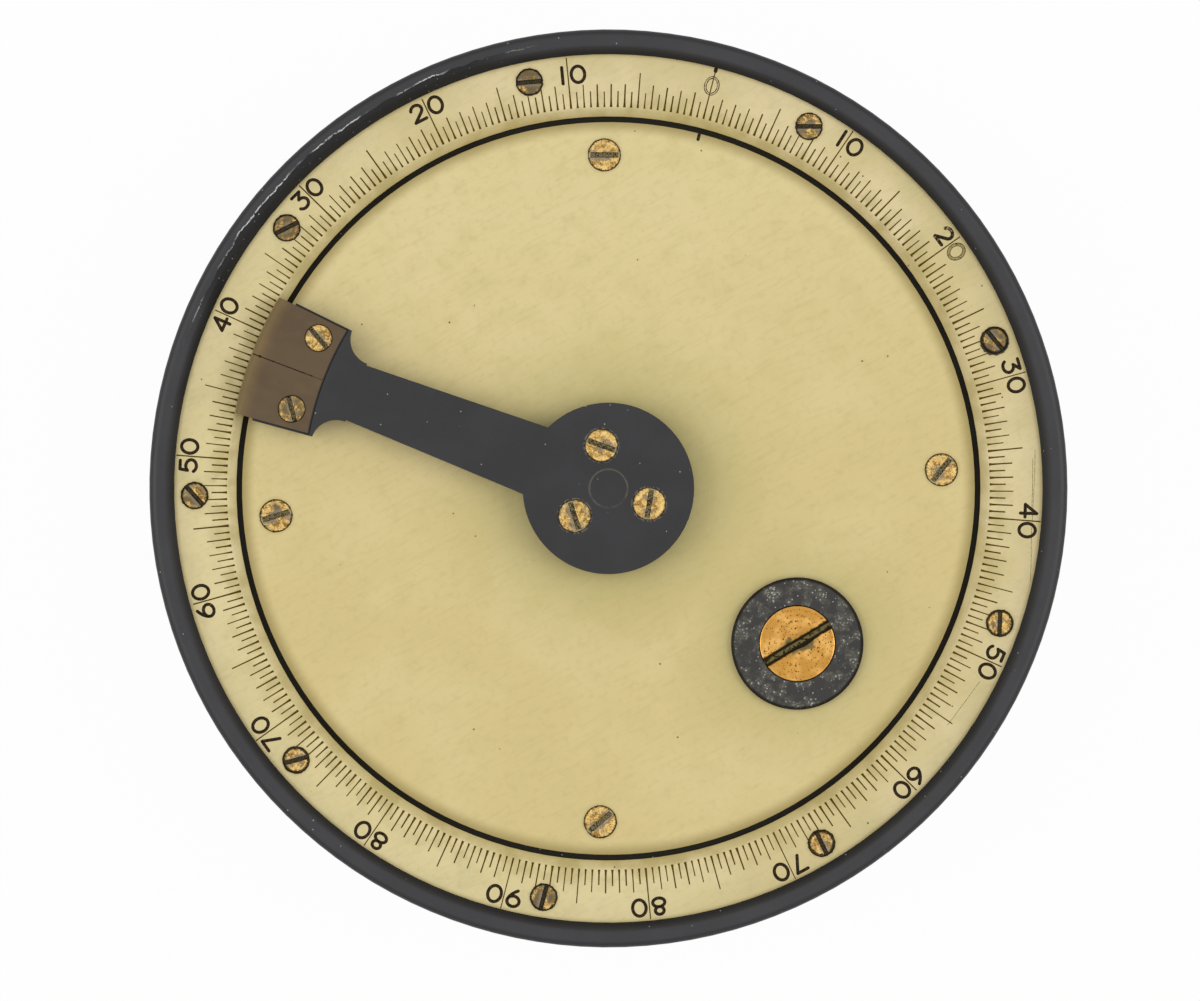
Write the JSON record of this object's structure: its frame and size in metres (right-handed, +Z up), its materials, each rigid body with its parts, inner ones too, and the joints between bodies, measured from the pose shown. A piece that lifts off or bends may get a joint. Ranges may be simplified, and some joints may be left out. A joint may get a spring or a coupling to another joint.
{
  "type": "sextant",
  "caption": "Round drum sextant: flat dial with a two-way degree ring, a turning index arm, and a geared index mirror and fixed horizon mirror inside.",
  "frame": {"origin": "middle of the underside, on the axis of the drum", "axes": "+Z up out of the dial along the arm's spindle; +Y up the dial as it is pictured, +X to its right"},
  "size_m": [0.12, 0.12, 0.0344],
  "materials": {
    "black_lacquer": "semi-matt black lacquer on brass, worn at the rim",
    "dark_bronze": "blackened brass with pale speckled corrosion",
    "ivorine": "satin cream celluloid with a fine streaky grain",
    "horn": "polished brown horn-like plate",
    "brass": "turned brass with patina",
    "steel": "turned steel",
    "mirror_glass": "silvered glass",
    "clear_glass": "clear glass"
  },
  "bodies": {
    "case": {"case_drum": "black_lacquer", "deck_plate": "black_lacquer", "base_plate": "black_lacquer", "base_screws": "brass", "scale_ring": "ivorine", "scale_ring_screws": "brass", "dial_disc": "ivorine", "dial_disc_screws": "brass", "centre_bush": "brass", "arbor_bush": "dark_bronze", "horizon_bracket": "black_lacquer", "horizon_mirror": "clear_glass", "horizon_silver": "mirror_glass", "horizon_bracket_screws": "brass", "eye_bush": "dark_bronze", "stop_pins": "steel", "hairspring": "steel", "spring_stud": "brass"},
    "arm": {"index_arm": "black_lacquer", "hub_screws": "brass", "pointer_plate": "horn", "pointer_screws": "brass", "arm_spindle": "black_lacquer", "friction_washer": "brass", "pinion": "brass", "pinion_screw": "steel"},
    "index_mirror": {"mirror_arbor": "brass", "arbor_screw": "brass", "sector_gear": "brass", "sector_screws": "steel", "index_mirror_frame": "black_lacquer", "index_mirror": "mirror_glass", "index_frame_screws": "brass"}
  },
  "joints": [
    {"name": "arm_turn", "type": "hinge", "parent": "case", "child": "arm", "pos_m": [0, 0, 0.0285], "axis": [0, 0, 1], "range_deg": [-263.4, 96.6]},
    {"name": "mirror_turn", "type": "hinge", "parent": "case", "child": "index_mirror", "pos_m": [0.02469, -0.02028, 0.0285], "axis": [0, 0, 1], "range_deg": [-24.2, 65.9]}
  ],
  "couplings": [
    {"joint": "mirror_turn", "follows": "arm_turn", "ratio": -0.25}
  ]
}
